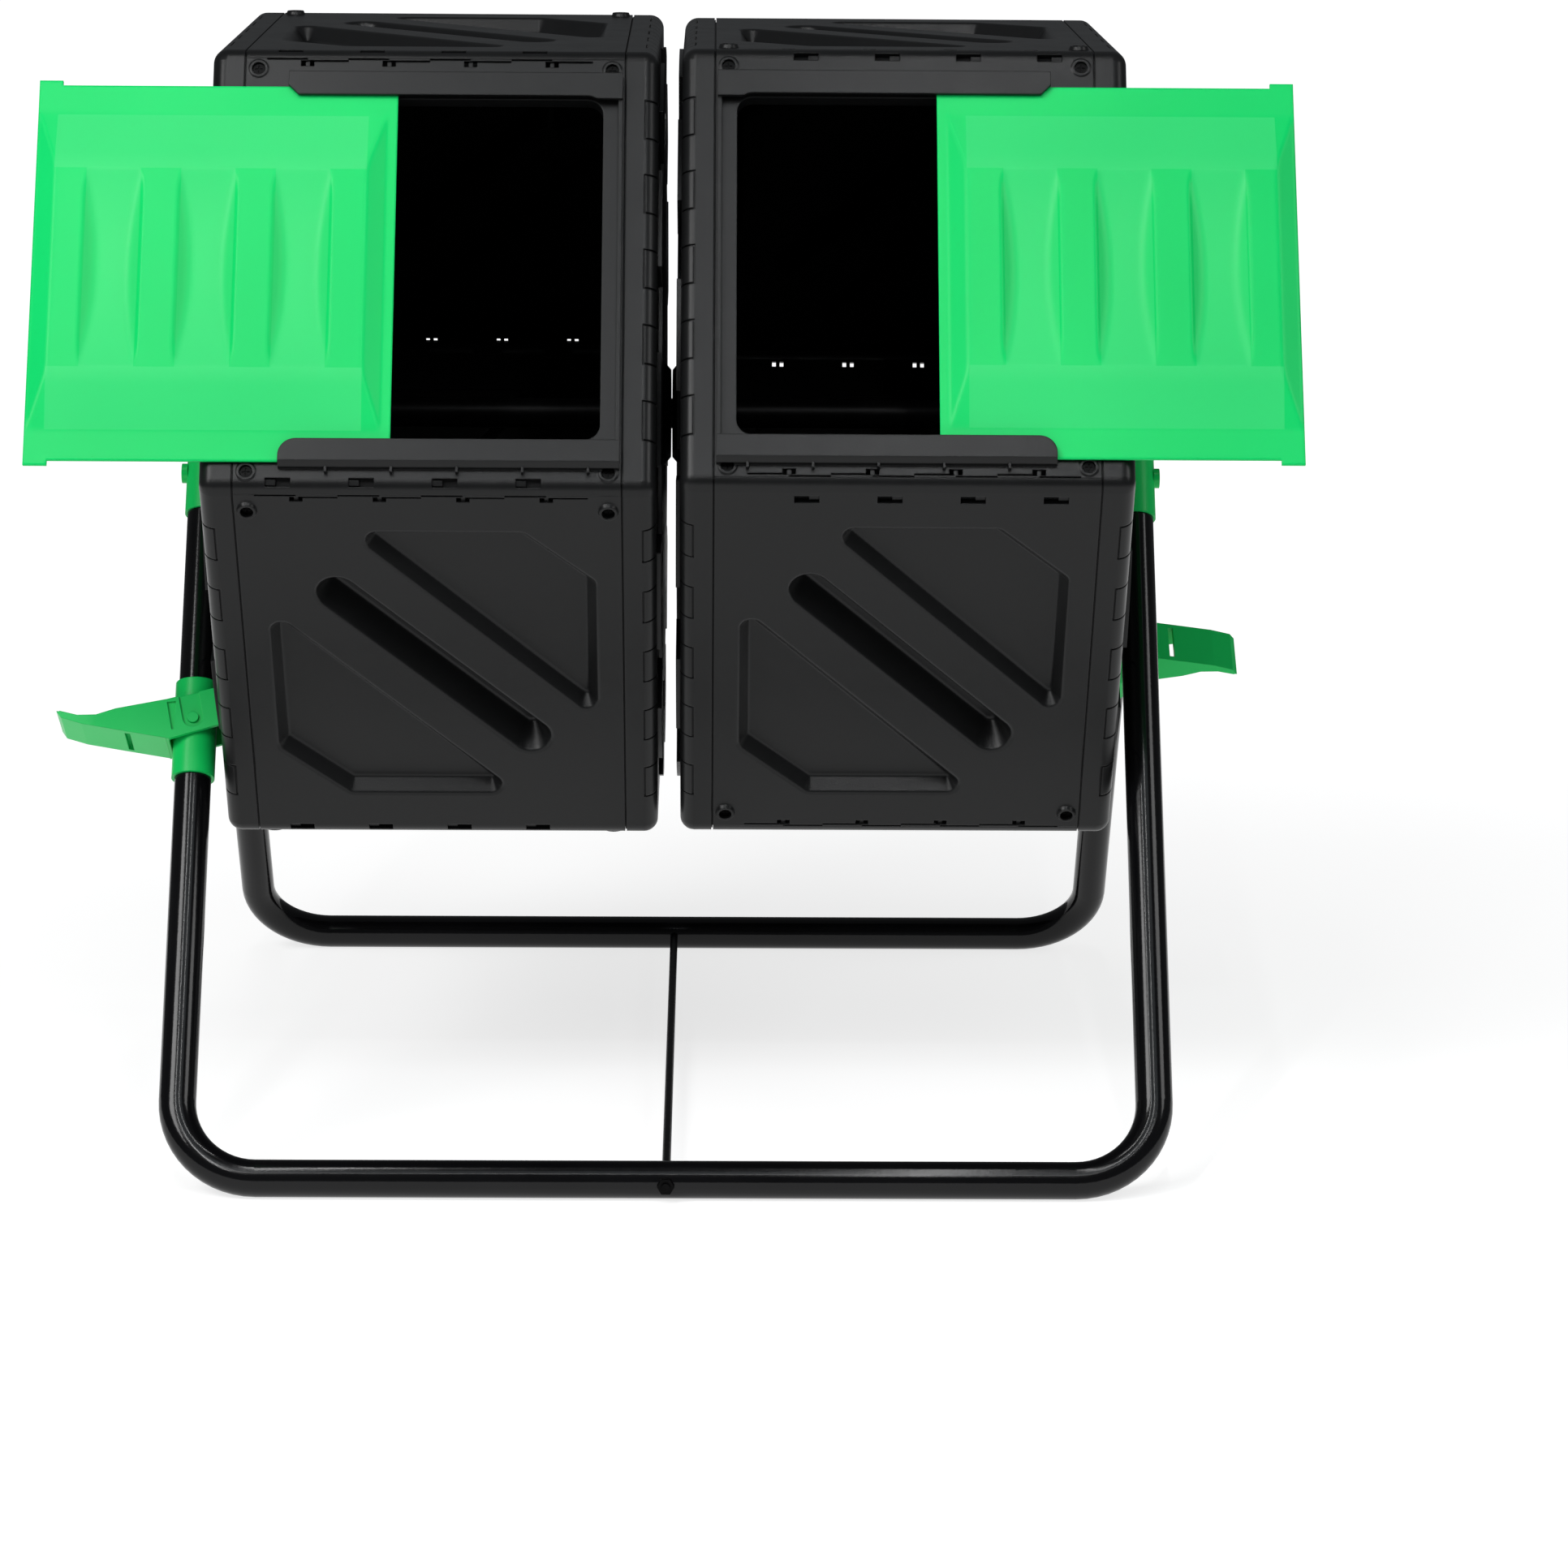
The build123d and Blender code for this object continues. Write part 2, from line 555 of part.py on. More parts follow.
def leg_plane(front):
    y = -FOOT_Y if front else FOOT_Y
    lean = LEG_DIR[0] if front else -LEG_DIR[0]
    up = Vector(0, lean, LEG_DIR[1])
    x_dir = Vector(1, 0, 0)
    return Plane(origin=(0, y, TUBE_R), x_dir=x_dir, z_dir=x_dir.cross(up))


def leg_tube(front):
    tube = leg_plane(front).location * leg_bend()
    y = -FOOT_Y if front else FOOT_Y
    hole = Pos(0, y, TUBE_R) * (Rot(90, 0, 0) * Cylinder(ROD_R, 4 * TUBE_R))
    tube -= hole
    for side in (-1, 1):
        tube -= hub_screw_holes(side)
    return tube


def hub_screw_spots():
    return [(s * LEG_DIR[0] * HUB_SCREW_DIST, AXLE_Z - LEG_DIR[1] * HUB_SCREW_DIST) for s in (-1, 1)]


def hub_screw_holes(side):
    x0, x1 = sorted((side * (HUB_IN - 1), side * (HUB_OUT + HUB_BOSS_H + 1)))
    holes = [Pos(0, y, z) * x_cylinder(HUB_SCREW_R, x0, x1) for y, z in hub_screw_spots()]
    return Compound(holes)


def hub_bracket(side):
    """The moulding that joins the tops of the front and rear legs and carries the axle's end."""
    x_in, x_out = sorted((side * HUB_IN, side * HUB_OUT))
    body = Pos(0, 0, AXLE_Z) * x_cylinder(HUB_CORE_R, x_in, x_out)
    bores = []
    for lean in (-1, 1):
        down = Vector(0, lean * LEG_DIR[0], -LEG_DIR[1])
        start = Vector(side * LEG_X, 0, AXLE_Z)
        frame = Plane(origin=start, x_dir=(1, 0, 0), z_dir=down)
        socket = frame.location * (Pos(0, 0, HUB_SOCKET_LEN / 2) * Cylinder(HUB_SOCKET_R, HUB_SOCKET_LEN))
        bore_len = HUB_SOCKET_LEN - LEG_TOP_GAP + 1
        bores.append(frame.location * (Pos(0, 0, LEG_TOP_GAP + bore_len / 2) * Cylinder(TUBE_R, bore_len)))
        body += socket
    web = make_face(
        Polyline(
            (0, AXLE_Z),
            (-LEG_DIR[0] * HUB_SOCKET_LEN, AXLE_Z - LEG_DIR[1] * HUB_SOCKET_LEN),
            (LEG_DIR[0] * HUB_SOCKET_LEN, AXLE_Z - LEG_DIR[1] * HUB_SOCKET_LEN),
            close=True,
        )
    )
    body += Pos(side * LEG_X - 4, 0, 0) * extrude(Plane.YZ * web, 8)
    slab = Pos((x_in + x_out) / 2, 0, AXLE_Z) * Box(x_out - x_in, 400, 400)
    body = body & slab
    for bore in bores:
        body -= bore
    boss_in, boss_out = sorted((side * (HUB_OUT - 1), side * (HUB_OUT + HUB_BOSS_H)))
    head_in, head_out = sorted((side * HUB_OUT, side * (HUB_OUT + HUB_BOSS_H + 1)))
    for y, z in hub_screw_spots():
        body += Pos(0, y, z) * x_cylinder(HUB_BOSS_R, boss_in, boss_out)
        body -= Pos(0, y, z) * x_cylinder(HUB_HEAD_R, head_in, head_out)
    body -= Pos(0, 0, AXLE_Z) * x_cylinder(AXLE_R, x_in - 1, x_out + 1)
    body -= hub_screw_holes(side)
    return body


def hub_screws(side):
    heads = []
    for y, z in hub_screw_spots():
        x_in, x_out = sorted((side * (HUB_IN + 1), side * HUB_OUT))
        shank = Pos(0, y, z) * x_cylinder(HUB_SCREW_R, x_in, x_out)
        a, b = sorted((side * HUB_OUT, side * (HUB_OUT + HUB_BOSS_H - 0.6)))
        head = Pos(0, y, z) * x_cylinder(HUB_HEAD_R, a, b)
        heads.append(shank + head)
    return heads


def axle_tube():
    half = HUB_OUT - 1
    tube = x_cylinder(AXLE_R, -half, half) - x_cylinder(AXLE_BORE_R, -half - 1, half + 1)
    return Pos(0, 0, AXLE_Z) * tube


def axle_cap(side):
    """A push-in plug whose flange keeps the axle in the hub bracket."""
    a, b = sorted((side * (HUB_OUT - 16), side * HUB_OUT))
    c, d = sorted((side * HUB_OUT, side * (HUB_OUT + 3.5)))
    plug = x_cylinder(AXLE_BORE_R, a, b) + x_cylinder(17, c, d)
    return Pos(0, 0, AXLE_Z) * plug


def spreader_rod():
    half = FOOT_Y + TUBE_R + 7
    return Pos(0, 0, TUBE_R) * (Rot(90, 0, 0) * Cylinder(ROD_R, 2 * half))


def spreader_nuts():
    nuts = []
    for s in (-1, 1):
        y = s * (FOOT_Y + TUBE_R + 2.5)
        nut = Pos(0, y, TUBE_R) * (Rot(90, 0, 0) * extrude(RegularPolygon(6, 6), 5, both=True))
        nut = nut & (Pos(0, y, TUBE_R) * Box(20, 5, 20))
        nuts.append(nut - spreader_rod())
    return nuts


# ---- latches --------------------------------------------------------------------------
def latch_sleeve(side):
    """A collar fixed on the leg, with a trunnion each side for the lever."""
    body = Rot(90, 0, 0) * (Cylinder(SLEEVE_R, SLEEVE_LEN) - Cylinder(TUBE_R, SLEEVE_LEN + 2))
    pins = Cylinder(TRUNNION_R, 2 * (LEVER_REACH + 0.3)) - Rot(90, 0, 0) * Cylinder(SLEEVE_R - 0.5, 60)
    return leg_frame(side).location * (Pos(0, -SLEEVE_DROP, 0) * body + pins)


def lever_side():
    """Outline of a lever cheek and the side wall that runs out along the finger plate."""
    inner = [(-22, 19.2), (-17.4, -9.5)]
    under = [(19.5, -12.9), (52.8, 0.5), (78, 10.8), (91.6, 18.4)]
    upper = [(92, 24), (80, 18.2), (67, 15.8), (52.7, 17.6), (16.3, 17.4)]
    return make_face(Polyline(*inner, *under, *upper, close=True))


def lever_plate():
    """The finger plate's section: it rises outward and curls up at its tip."""
    under = [(19.5, -12.9), (52.8, 0.5), (78, 10.8), (91.6, 18.4), (94, 24)]
    upper = [(91, 23.2), (76.8, 13.8), (51.6, 3.4), (19.5, -9.7)]
    return make_face(Polyline(*under, *upper, close=True))


def cheek_recess():
    """What is sunk into a cheek's outer face: the channel that snaps over the pivot, and a pocket beside it."""
    channel = Pos(0, 15) * Rectangle(2 * LEVER_SLOT_R, 30) + Circle(LEVER_SLOT_R)
    pocket = make_face(Polyline((9.8, 14.4), (16.0, 15.1), (16.3, -6.4), (14.6, -6.4), close=True))
    return channel + pocket


def latch_lever(side):
    """A forked hand lever that straddles the sleeve; its two inner corners are the locking teeth."""
    cheek = extrude(lever_side(), CHEEK_T)
    recess = extrude(cheek_recess(), LEVER_RECESS)
    lever = Pos(0, 0, CHEEK_IN) * cheek + Pos(0, 0, -LEVER_REACH) * cheek
    lever += extrude(lever_plate(), LEVER_REACH, both=True)
    lever += Pos(20.5, 1, 0) * Box(3, 27, 2 * LEVER_REACH)
    lever -= Pos(0, 0, LEVER_REACH - LEVER_RECESS) * recess
    lever -= Pos(0, 0, -LEVER_REACH) * recess
    out, width, length = FINGER_SLOT
    lever -= Pos(out, 0, 0) * (Rot(0, 0, 24) * Box(width, 12, length))
    lever -= Cylinder(TRUNNION_R + RUN_FIT, 3 * LEVER_REACH)
    lever = Rot(0, 0, -LATCH_TILT) * lever
    if side == "right":
        lever = mirror(lever, Plane.XZ)
    return leg_frame(side).location * lever


# ---- write every piece ----------------------------------------------------------------
def save(name, shape):
    export_step(shape, f"parts/{name}.step")


def save_group(name, solids):
    save(name, Compound(children=list(solids)))


def write_drum(side, panel, cap):
    names = ["top", "upper_rear", "lower_rear", "bottom", "lower_front"]
    if side == "right":
        names.reverse()
    for index, name in enumerate(names, start=1):
        save(f"{side}_{name}_panel", place_drum(on_face(index, panel), side))
    save(f"{side}_door_frame", place_drum(on_face(0, door_frame(side)), side))
    holes = cap_screw_holes()
    save(f"{side}_outer_end_cap", place_drum(cap - holes, side))
    save(f"{side}_inner_end_cap", place_drum(other_end(cap) - holes, side))
    save(f"{side}_outer_bushing", place_drum(bushing(), side))
    save(f"{side}_inner_bushing", place_drum(other_end(bushing()), side))
    save_group(f"{side}_panel_screws", [place_drum(s, side) for s in panel_screws()])
    save(f"{side}_door", placed_door(side))


def main():
    os.makedirs("parts", exist_ok=True)
    save("front_leg_tube", leg_tube(True))
    save("rear_leg_tube", leg_tube(False))
    save("axle_tube", axle_tube())
    save("spreader_rod", spreader_rod())
    save_group("spreader_nuts", spreader_nuts())
    cap = end_cap()
    for side, sign in (("left", -1), ("right", 1)):
        save(f"{side}_hub_bracket", hub_bracket(sign))
        save_group(f"{side}_hub_screws", hub_screws(sign))
        save(f"{side}_axle_cap", axle_cap(sign))
        save(f"{side}_latch_sleeve", latch_sleeve(side))
        save(f"{side}_latch_lever", latch_lever(side))
        write_drum(side, face_panel(side), cap)


main()
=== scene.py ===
import json
import math

import bmesh
import bpy
import numpy as np
from mathutils import Matrix, Vector


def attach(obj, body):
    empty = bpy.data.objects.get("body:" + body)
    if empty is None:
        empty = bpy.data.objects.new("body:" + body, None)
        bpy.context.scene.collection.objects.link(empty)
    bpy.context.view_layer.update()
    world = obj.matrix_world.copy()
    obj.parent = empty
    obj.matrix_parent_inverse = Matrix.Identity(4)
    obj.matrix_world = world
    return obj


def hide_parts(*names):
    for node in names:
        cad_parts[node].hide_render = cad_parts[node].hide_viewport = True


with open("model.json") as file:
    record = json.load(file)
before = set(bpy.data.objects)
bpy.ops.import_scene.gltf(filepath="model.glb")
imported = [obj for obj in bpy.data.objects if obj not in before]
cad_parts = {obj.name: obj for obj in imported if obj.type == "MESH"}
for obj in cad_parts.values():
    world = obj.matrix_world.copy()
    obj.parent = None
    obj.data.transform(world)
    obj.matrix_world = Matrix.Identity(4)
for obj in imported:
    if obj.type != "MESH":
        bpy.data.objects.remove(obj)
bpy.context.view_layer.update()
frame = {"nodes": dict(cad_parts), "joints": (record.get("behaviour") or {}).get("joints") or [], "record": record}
NODES = frame["nodes"]

# ---- driving values -------------------------------------------------------------------
# the drums and where they hang, metres
MM = 0.001
AXLE = {j["name"]: j for j in frame["joints"]}["left_drum_turn"]["pos_m"][2]
DRUM_CORNER_R = 320 * MM
APOTHEM = DRUM_CORNER_R * math.cos(math.radians(30))
DRUM_X = 161.5 * MM
DRUM_TILT = {"left": math.radians(0.8), "right": 0.0}
SPLIT_ANGLE = math.radians(32)

# the doors, millimetres: lengths run from the leading edge, widths from the middle line
DOOR_LEN = 245.5
DOOR_T = 3.0
DOOR_SKIN = 2.6
PLATE_HALF = 136.5
EAR_HALF = 140.0
EAR_W = 16.0
EAR_EDGE = 1.5
DOOR_DROP = 5.5
DOOR_LIFT = 1.2
DOOR_OPEN = {"left": 25.0, "right": 21.5}
PLATEAU_H = 8.0
PLATEAU_FOOT, PLATEAU_TOP = 116.0, 76.0
LEAD_FOOT, LEAD_RUN = 6.5, 13.0
TAIL_FOOT, TAIL_RUN = 0.8, 13.2
SIDE_BLEND, END_BLEND, FOOT_BLEND, SCOOP_BLEND = 1.6, 1.0, 0.5, 3.6
BAR_W, BAR_PITCH, FIRST_BAR = 23.2, 64.1, 30.8
SCOOPS = 3
SCOOP_HALF, SCOOP_DEPTH, SCOOP_WALL = 72.0, 7.8, 9.0
# the bars keep the plain green; the hollows beyond this margin take a lighter green that is painted haze
POLISH_MARGIN = 2.0  # the bars' polish goes on this far down the walls beside them
ROWS_ALONG, ROWS_EAR, ROWS_ACROSS = 176, 14, 201

# the studio, metres
NEAR_FLOOR, FAR_FLOOR, FAR_FLOOR_Z = 2.6, 60.0, -0.002
FLOOR_GREY = 0.42
FLOOR_GLOW_EDGE, FLOOR_GLOW_MIDDLE = 1.0, 0.72
CAMERA_AT = (0.0305, -3.5845, 1.0281)
CAMERA_YAW, CAMERA_PITCH, CAMERA_ROLL = -0.0150, 0.2219, 0.0075
CAMERA_LENS = 113.06


# ---- camera, floor and light ----------------------------------------------------------
def add_camera():
    cam = bpy.data.cameras.new("camera")
    cam.lens = CAMERA_LENS
    cam.sensor_width = 36.0
    cam.clip_end = 100.0
    obj = bpy.data.objects.new("camera", cam)
    bpy.context.scene.collection.objects.link(obj)
    cy, sy = math.cos(CAMERA_YAW), math.sin(CAMERA_YAW)
    cp, sp = math.cos(CAMERA_PITCH), math.sin(CAMERA_PITCH)
    forward = Vector((-sy * cp, cy * cp, -sp))
    right = Vector((cy, sy, 0))
    up = right.cross(forward)
    cr, sr = math.cos(CAMERA_ROLL), math.sin(CAMERA_ROLL)
    x_axis = right * cr + up * sr
    y_axis = up * cr - right * sr
    turn = Matrix((x_axis, y_axis, -forward)).transposed().to_4x4()
    obj.matrix_world = Matrix.Translation(CAMERA_AT) @ turn
    bpy.context.scene.camera = obj


def add_area(name, at, look_at, size, energy, colour=(1, 1, 1)):
    light = bpy.data.lights.new(name, "AREA")
    light.shape = "RECTANGLE"
    light.size, light.size_y = size
    light.energy = energy
    light.color = colour
    obj = bpy.data.objects.new(name, light)
    obj.location = at
    aim = Vector(look_at) - Vector(at)
    obj.rotation_euler = aim.to_track_quat("-Z", "Y").to_euler()
    bpy.context.scene.collection.objects.link(obj)


def add_world():
    world = bpy.data.worlds.new("studio")
    bpy.context.scene.world = world
    world.use_nodes = True
    nodes, links = world.node_tree.nodes, world.node_tree.links
    nodes.clear()
    out = nodes.new("ShaderNodeOutputWorld")
    back = nodes.new("ShaderNodeBackground")
    back.inputs["Color"].default_value = (0.92, 0.96, 1.0, 1)
    back.inputs["Strength"].default_value = 0.10
    links.new(back.outputs[0], out.inputs[0])


def floor_plane(name, size, height):
    bm = bmesh.new()
    bmesh.ops.create_grid(bm, x_segments=1, y_segments=1, size=size)
    mesh = bpy.data.meshes.new(name)
    bm.to_mesh(mesh)
    bm.free()
    obj = bpy.data.objects.new(name, mesh)
    obj.location = (0, 0, height)
    bpy.context.scene.collection.objects.link(obj)
    mat = bpy.data.materials.new(name)
    mat.use_nodes = True
    shader = mat.node_tree.nodes["Principled BSDF"]
    shader.inputs["Base Color"].default_value = (FLOOR_GREY, FLOOR_GREY, FLOOR_GREY, 1)
    shader.inputs["Roughness"].default_value = 1.0
    shader.inputs["Specular IOR Level"].default_value = 0.0
    shader.inputs["Emission Color"].default_value = (1, 1, 1, 1)
    shader.inputs["Emission Strength"].default_value = 1.0
    mesh.materials.append(mat)
    return obj


def add_floor():
    """A pale, evenly lit floor: the near part lights the object and takes its soft shadow,
    and grows brighter outward until it meets the far part, which only backs the object."""
    near = floor_plane("near floor", NEAR_FLOOR, 0.0)
    tree = near.data.materials[0].node_tree
    coord = tree.nodes.new("ShaderNodeTexCoord")
    mapping = tree.nodes.new("ShaderNodeMapping")
    mapping.inputs["Scale"].default_value = (1 / NEAR_FLOOR, 1 / NEAR_FLOOR, 1 / NEAR_FLOOR)
    gradient = tree.nodes.new("ShaderNodeTexGradient")
    gradient.gradient_type = "SPHERICAL"
    strength = tree.nodes.new("ShaderNodeMapRange")
    strength.inputs["To Min"].default_value = FLOOR_GLOW_EDGE
    strength.inputs["To Max"].default_value = FLOOR_GLOW_MIDDLE
    tree.links.new(coord.outputs["Object"], mapping.inputs["Vector"])
    tree.links.new(mapping.outputs["Vector"], gradient.inputs["Vector"])
    tree.links.new(gradient.outputs["Fac"], strength.inputs["Value"])
    tree.links.new(strength.outputs["Result"], tree.nodes["Principled BSDF"].inputs["Emission Strength"])
    far = floor_plane("far floor", FAR_FLOOR, FAR_FLOOR_Z)
    far.visible_diffuse = False
    far.visible_glossy = False


def light_scene():
    add_world()
    add_floor()
    add_area("key", (-2.4, -2.3, 2.9), (0, 0, 0.5), (1.5, 1.5), 74)
    add_area("front top", (0.2, -2.2, 3.0), (0, 0, 0.5), (2.6, 1.2), 9, (0.86, 0.95, 1.0))
    add_area("right", (3.0, -1.2, 2.4), (0, 0, 0.5), (1.2, 1.2), 20)
    add_area("strip left", (-0.62, -1.5, 2.4), (-0.338, -0.17, 0.25), (0.04, 2.4), 16)
    add_area("strip right", (0.30, -1.5, 2.4), (0.338, -0.17, 0.25), (0.04, 2.4), 12)
    add_area("strip across", (0, -2.6, 2.7), (0, -0.3, 0.2), (3.2, 0.05), 9)


# ---- materials ------------------------------------------------------------------------
class Shade:
    """A small helper that keeps a material's node building short."""

    def __init__(self, name):
        self.mat = bpy.data.materials.new(name)
        self.mat.use_nodes = True
        self.nodes = self.mat.node_tree.nodes
        self.links = self.mat.node_tree.links
        self.bsdf = self.nodes["Principled BSDF"]
        coord = self.nodes.new("ShaderNodeTexCoord")
        self.place = coord.outputs["Object"]

    def new(self, kind, **values):
        node = self.nodes.new(kind)
        for key, value in values.items():
            setattr(node, key, value)
        return node

    def set(self, socket, value):
        self.bsdf.inputs[socket].default_value = value

    def noise(self, scale, detail=4.0, rough=0.55):
        node = self.new("ShaderNodeTexNoise")
        node.inputs["Scale"].default_value = scale
        node.inputs["Detail"].default_value = detail
        node.inputs["Roughness"].default_value = rough
        self.links.new(self.place, node.inputs["Vector"])
        return node.outputs["Fac"]

    def ramp(self, source, low, high):
        ramp_node = self.new("ShaderNodeValToRGB")
        for element, position, colour in zip(ramp_node.color_ramp.elements, (0.3, 0.7), (low, high)):
            element.position = position
            element.color = (*colour, 1)
        self.links.new(source, ramp_node.inputs["Fac"])
        return ramp_node.outputs["Color"]

    def spread(self, source, low, high):
        node = self.new("ShaderNodeMapRange")
        node.inputs["To Min"].default_value = low
        node.inputs["To Max"].default_value = high
        self.links.new(source, node.inputs["Value"])
        return node.outputs["Result"]

    def tint(self, amount, base, colour):
        """The base colour, mixed toward another by an amount that varies over the surface."""
        node = self.new("ShaderNodeMix", data_type="RGBA")
        factor = [socket for socket in node.inputs if socket.name == "Factor"][0]
        first, second = [socket for socket in node.inputs if socket.type == "RGBA"]
        self.links.new(amount, factor)
        self.links.new(base, first)
        second.default_value = (*colour, 1)
        return [socket for socket in node.outputs if socket.type == "RGBA"][0]

    def bump(self, height, strength, distance, normal=None):
        node = self.new("ShaderNodeBump")
        node.inputs["Strength"].default_value = strength
        node.inputs["Distance"].default_value = distance
        self.links.new(height, node.inputs["Height"])
        if normal is not None:
            self.links.new(normal, node.inputs["Normal"])
        return node.outputs["Normal"]

    def soft_edges(self, radius):
        node = self.new("ShaderNodeBevel", samples=4)
        node.inputs["Radius"].default_value = radius
        return node.outputs["Normal"]

    def feed(self, socket, source):
        self.links.new(source, self.bsdf.inputs[socket])


def moulded_charcoal():
    """Satin charcoal polypropylene with a fine moulded grain and faint flow and scuff marks."""
    s = Shade("moulded_charcoal")
    clouds = s.noise(3.0, 3.0)
    fine = s.noise(900.0, 2.0)
    scuff = s.noise(38.0, 6.0, 0.7)
    base = s.ramp(clouds, (0.0045, 0.0047, 0.0049), (0.0060, 0.0062, 0.0065))
    s.feed("Base Color", s.tint(s.spread(scuff, 0.0, 0.12), base, (0.016, 0.0165, 0.017)))
    s.feed("Roughness", s.spread(scuff, 0.24, 0.38))
    s.set("Specular IOR Level", 0.22)
    s.feed("Normal", s.bump(fine, 0.25, 0.0002, s.soft_edges(1.2 * MM)))
    return s.mat


def bright_green(name, deep, light, rough, gloss):
    """Moulded green with slight flow marks, uneven gloss and a faint grain."""
    s = Shade(name)
    clouds = s.noise(4.0, 2.0)
    fine = s.noise(500.0, 2.0)
    s.feed("Base Color", s.ramp(clouds, deep, light))
    s.feed("Roughness", s.spread(s.noise(60.0, 5.0, 0.7), *rough))
    s.set("Specular IOR Level", gloss)
    s.set("Subsurface Weight", 0.05)
    s.set("Subsurface Scale", 0.004)
    s.feed("Normal", s.bump(fine, 0.08, 0.0002, s.soft_edges(0.8 * MM)))
    return s.mat


def gloss_black_tube():
    """Black powder coat: glossy with a slight orange peel."""
    s = Shade("gloss_black_tube")
    peel = s.noise(420.0, 1.0)
    s.feed("Base Color", s.ramp(s.noise(9.0, 3.0), (0.0020, 0.0020, 0.0024), (0.0035, 0.0035, 0.0040)))
    s.feed("Roughness", s.spread(s.noise(70.0, 4.0), 0.10, 0.17))
    s.set("Specular IOR Level", 0.25)
    s.feed("Normal", s.bump(peel, 0.12, 0.0002))
    return s.mat


def black_steel():
    """Black-passivated zinc plate on screws, rod and axle."""
    s = Shade("black_steel")
    s.set("Specular IOR Level", 0.06)
    s.feed("Base Color", s.ramp(s.noise(120.0, 4.0), (0.001, 0.001, 0.001), (0.0025, 0.0025, 0.0028)))
    s.feed("Roughness", s.spread(s.noise(300.0, 3.0), 0.28, 0.45))
    s.feed("Normal", s.soft_edges(0.4 * MM))
    return s.mat


def bush_plastic():
    """Dark matt plastic of the bushes."""
    s = Shade("bush_plastic")
    s.feed("Base Color", s.ramp(s.noise(60.0, 3.0), (0.02, 0.02, 0.02), (0.035, 0.035, 0.036)))
    s.feed("Roughness", s.spread(s.noise(200.0, 3.0), 0.35, 0.5))
    s.feed("Normal", s.soft_edges(0.4 * MM))
    return s.mat


MATERIALS = {
    "drum_plastic": moulded_charcoal(),
    "door_green_plastic": bright_green(
        "door_green", (0.004, 0.55, 0.120), (0.006, 0.62, 0.140), (0.26, 0.36), 0.12
    ),
    "latch_green_plastic": bright_green(
        "latch_green", (0.004, 0.47, 0.090), (0.007, 0.53, 0.108), (0.26, 0.38), 0.2
    ),
    "powder_coated_tube": gloss_black_tube(),
    "black_steel": black_steel(),
    "bush_plastic": bush_plastic(),
}
# lighter, redder green for the hollows: painted haze standing in for the lamps' sheen on them, together with their
# real rougher texture
TEXTURED_GREEN_PAINTED_HAZE = bright_green(
    "door_green_textured_painted_haze", (0.020, 0.575, 0.145), (0.028, 0.630, 0.163), (0.36, 0.48), 0.2
)


def dress_cad_nodes():
    for entry in frame["record"]["subparts"]:
        obj = NODES[entry["node"]]
        obj.data.materials.clear()
        obj.data.materials.append(MATERIALS[entry["material_slot"]])
        obj.data.shade_smooth()
        edges = obj.modifiers.new("edges", "EDGE_SPLIT")
        edges.split_angle = SPLIT_ANGLE


# ---- doors ----------------------------------------------------------------------------
def smooth_min(a, b, soft):
    """The lower of two surfaces, blended over a distance where they cross."""
    mix = np.clip(0.5 + 0.5 * (b - a) / soft, 0.0, 1.0)
    return b * (1 - mix) + a * mix - soft * mix * (1 - mix)


def scoop_depth(u, w):
    """How deep the hollow between two bars is: steep beside the bars, a shallow arc along them."""
    gap = BAR_PITCH - BAR_W
    depth = np.zeros_like(u)
    along = np.clip(1 - (w / SCOOP_HALF) ** 2, 0, None) * SCOOP_DEPTH
    for i in range(SCOOPS):
        start = FIRST_BAR + BAR_W / 2 + BAR_PITCH * i
        inside = np.minimum(u - start, start + gap - u)
        wall = inside * SCOOP_DEPTH / SCOOP_WALL
        depth = np.maximum(depth, np.clip(smooth_min(wall, along, SCOOP_BLEND), 0, None) * (inside > 0))
    return depth


def door_height(u, w):
    """The door's outer surface above its back face, in mm: u from the leading edge, w from its middle."""
    side = (PLATEAU_FOOT - np.abs(w)) / (PLATEAU_FOOT - PLATEAU_TOP) * PLATEAU_H
    lead = (u - LEAD_FOOT) / LEAD_RUN * PLATEAU_H
    tail = (DOOR_LEN - TAIL_FOOT - u) / TAIL_RUN * PLATEAU_H
    top = smooth_min(np.full_like(u, PLATEAU_H), side, SIDE_BLEND)
    top = smooth_min(top, smooth_min(lead, tail, END_BLEND), END_BLEND)
    raised = np.clip(-smooth_min(-top, np.zeros_like(u), FOOT_BLEND), 0, None)
    return DOOR_T + raised - scoop_depth(u, w)


def is_textured_with_painted_haze(u, w):
    """The raised middle has a light texture, and a lighter green that is painted haze, everywhere but on the bars
    and the sloping ends.
    """
    if abs(w) > PLATEAU_FOOT - 1 or not LEAD_FOOT + LEAD_RUN <= u <= DOOR_LEN - TAIL_FOOT - TAIL_RUN:
        return False
    from_bar = abs((u - FIRST_BAR + BAR_PITCH / 2) % BAR_PITCH - BAR_PITCH / 2)
    on_bar = from_bar < BAR_W / 2 + POLISH_MARGIN and abs(w) < SCOOP_HALF
    return not on_bar


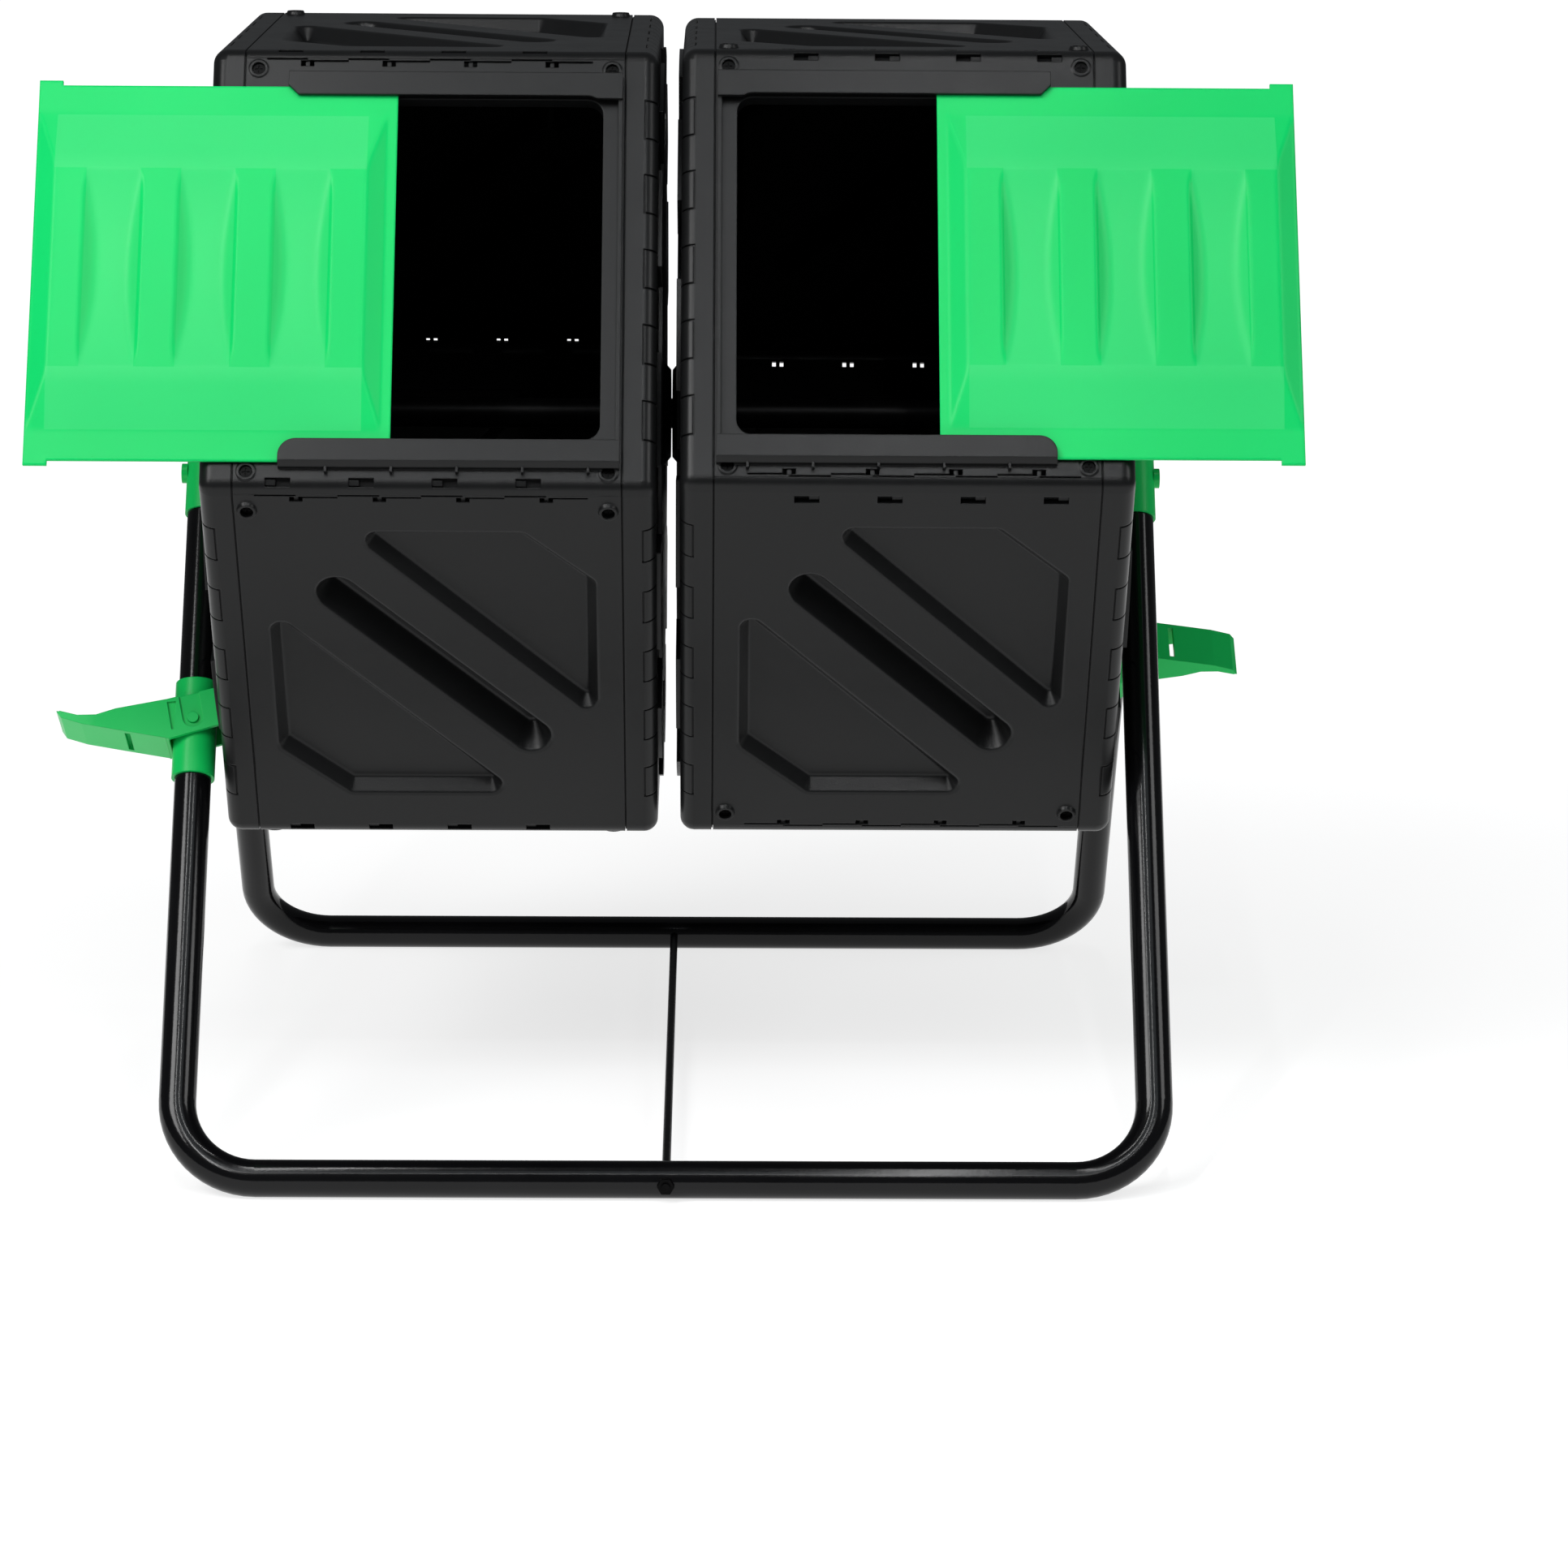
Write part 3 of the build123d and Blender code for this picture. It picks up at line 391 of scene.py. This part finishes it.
def door_mesh(name):
    """The door's shaped outer skin as one open sheet, in the door's own axes and in mm."""
    plate = np.linspace(0, DOOR_LEN - EAR_W, ROWS_ALONG)
    ears = np.linspace(DOOR_LEN - EAR_W, DOOR_LEN, ROWS_EAR)
    us = np.unique(np.concatenate([plate, ears]))
    ws = np.linspace(-PLATE_HALF, PLATE_HALF, ROWS_ACROSS)
    ws = np.concatenate([[-EAR_HALF, -EAR_HALF + EAR_EDGE], ws, [EAR_HALF - EAR_EDGE, EAR_HALF]])
    grid_u, grid_w = np.meshgrid(us, ws, indexing="ij")
    points = np.stack([grid_u, grid_w, door_height(grid_u, grid_w)], axis=-1)
    bm = bmesh.new()
    rows = [[bm.verts.new(point) for point in row] for row in points]
    for i in range(len(us) - 1):
        for j in range(len(ws) - 1):
            middle = (ws[j] + ws[j + 1]) / 2
            if abs(middle) > PLATE_HALF and us[i] < DOOR_LEN - EAR_W - 1e-6:
                continue
            face = bm.faces.new((rows[i][j], rows[i + 1][j], rows[i + 1][j + 1], rows[i][j + 1]))
            # faces in the textured hollows take the lighter green, which is painted haze
            face.material_index = int(is_textured_with_painted_haze((us[i] + us[i + 1]) / 2, middle))
    bmesh.ops.delete(bm, geom=[v for v in bm.verts if not v.link_faces], context="VERTS")
    mesh = bpy.data.meshes.new(name)
    bm.to_mesh(mesh)
    bm.free()
    mesh.shade_smooth()
    return mesh


def door_place(side):
    """Where the door's own axes (u back from the leading edge, w up the face, outward) stand at rest."""
    mid = math.radians(30)
    outward = Vector((0, -math.cos(mid), math.sin(mid)))
    up = Vector((0, math.sin(mid), math.cos(mid)))
    sign = 1 if side == "right" else -1
    along = Vector((sign, 0, 0))
    on_face = outward * (APOTHEM + DOOR_LIFT * MM) - up * DOOR_DROP * MM
    origin = on_face + along * (DOOR_OPEN[side] * MM)
    turn = Matrix((along * MM, up * MM, outward * MM)).transposed().to_4x4()
    tilt = Matrix.Rotation(DRUM_TILT[side], 4, "X")
    centre = Vector((sign * DRUM_X, 0, AXLE))
    return Matrix.Translation(centre) @ tilt @ Matrix.Translation(origin) @ turn


def add_door(side):
    """A door on its drum: the outer skin, thickened inward to a shell."""
    mesh = door_mesh(f"{side}_moulded_door")
    mesh.transform(door_place(side))
    if side == "left":
        mesh.flip_normals()
    obj = bpy.data.objects.new(f"{side}_moulded_door", mesh)
    bpy.context.scene.collection.objects.link(obj)
    skin = obj.modifiers.new("skin", "SOLIDIFY")
    skin.thickness = DOOR_SKIN * MM
    skin.offset = -1
    skin.use_even_offset = False
    mesh.materials.append(MATERIALS["door_green_plastic"])
    # the second material is the painted-haze green of the textured hollows
    mesh.materials.append(TEXTURED_GREEN_PAINTED_HAZE)
    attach(obj, f"{side}_sliding_door")
    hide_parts(f"{side}_door")


# ---- build everything -----------------------------------------------------------------
add_camera()
light_scene()
dress_cad_nodes()
for side in ("left", "right"):
    add_door(side)

scene = bpy.context.scene
scene.view_settings.view_transform = "Standard"
scene.view_settings.look = "None"
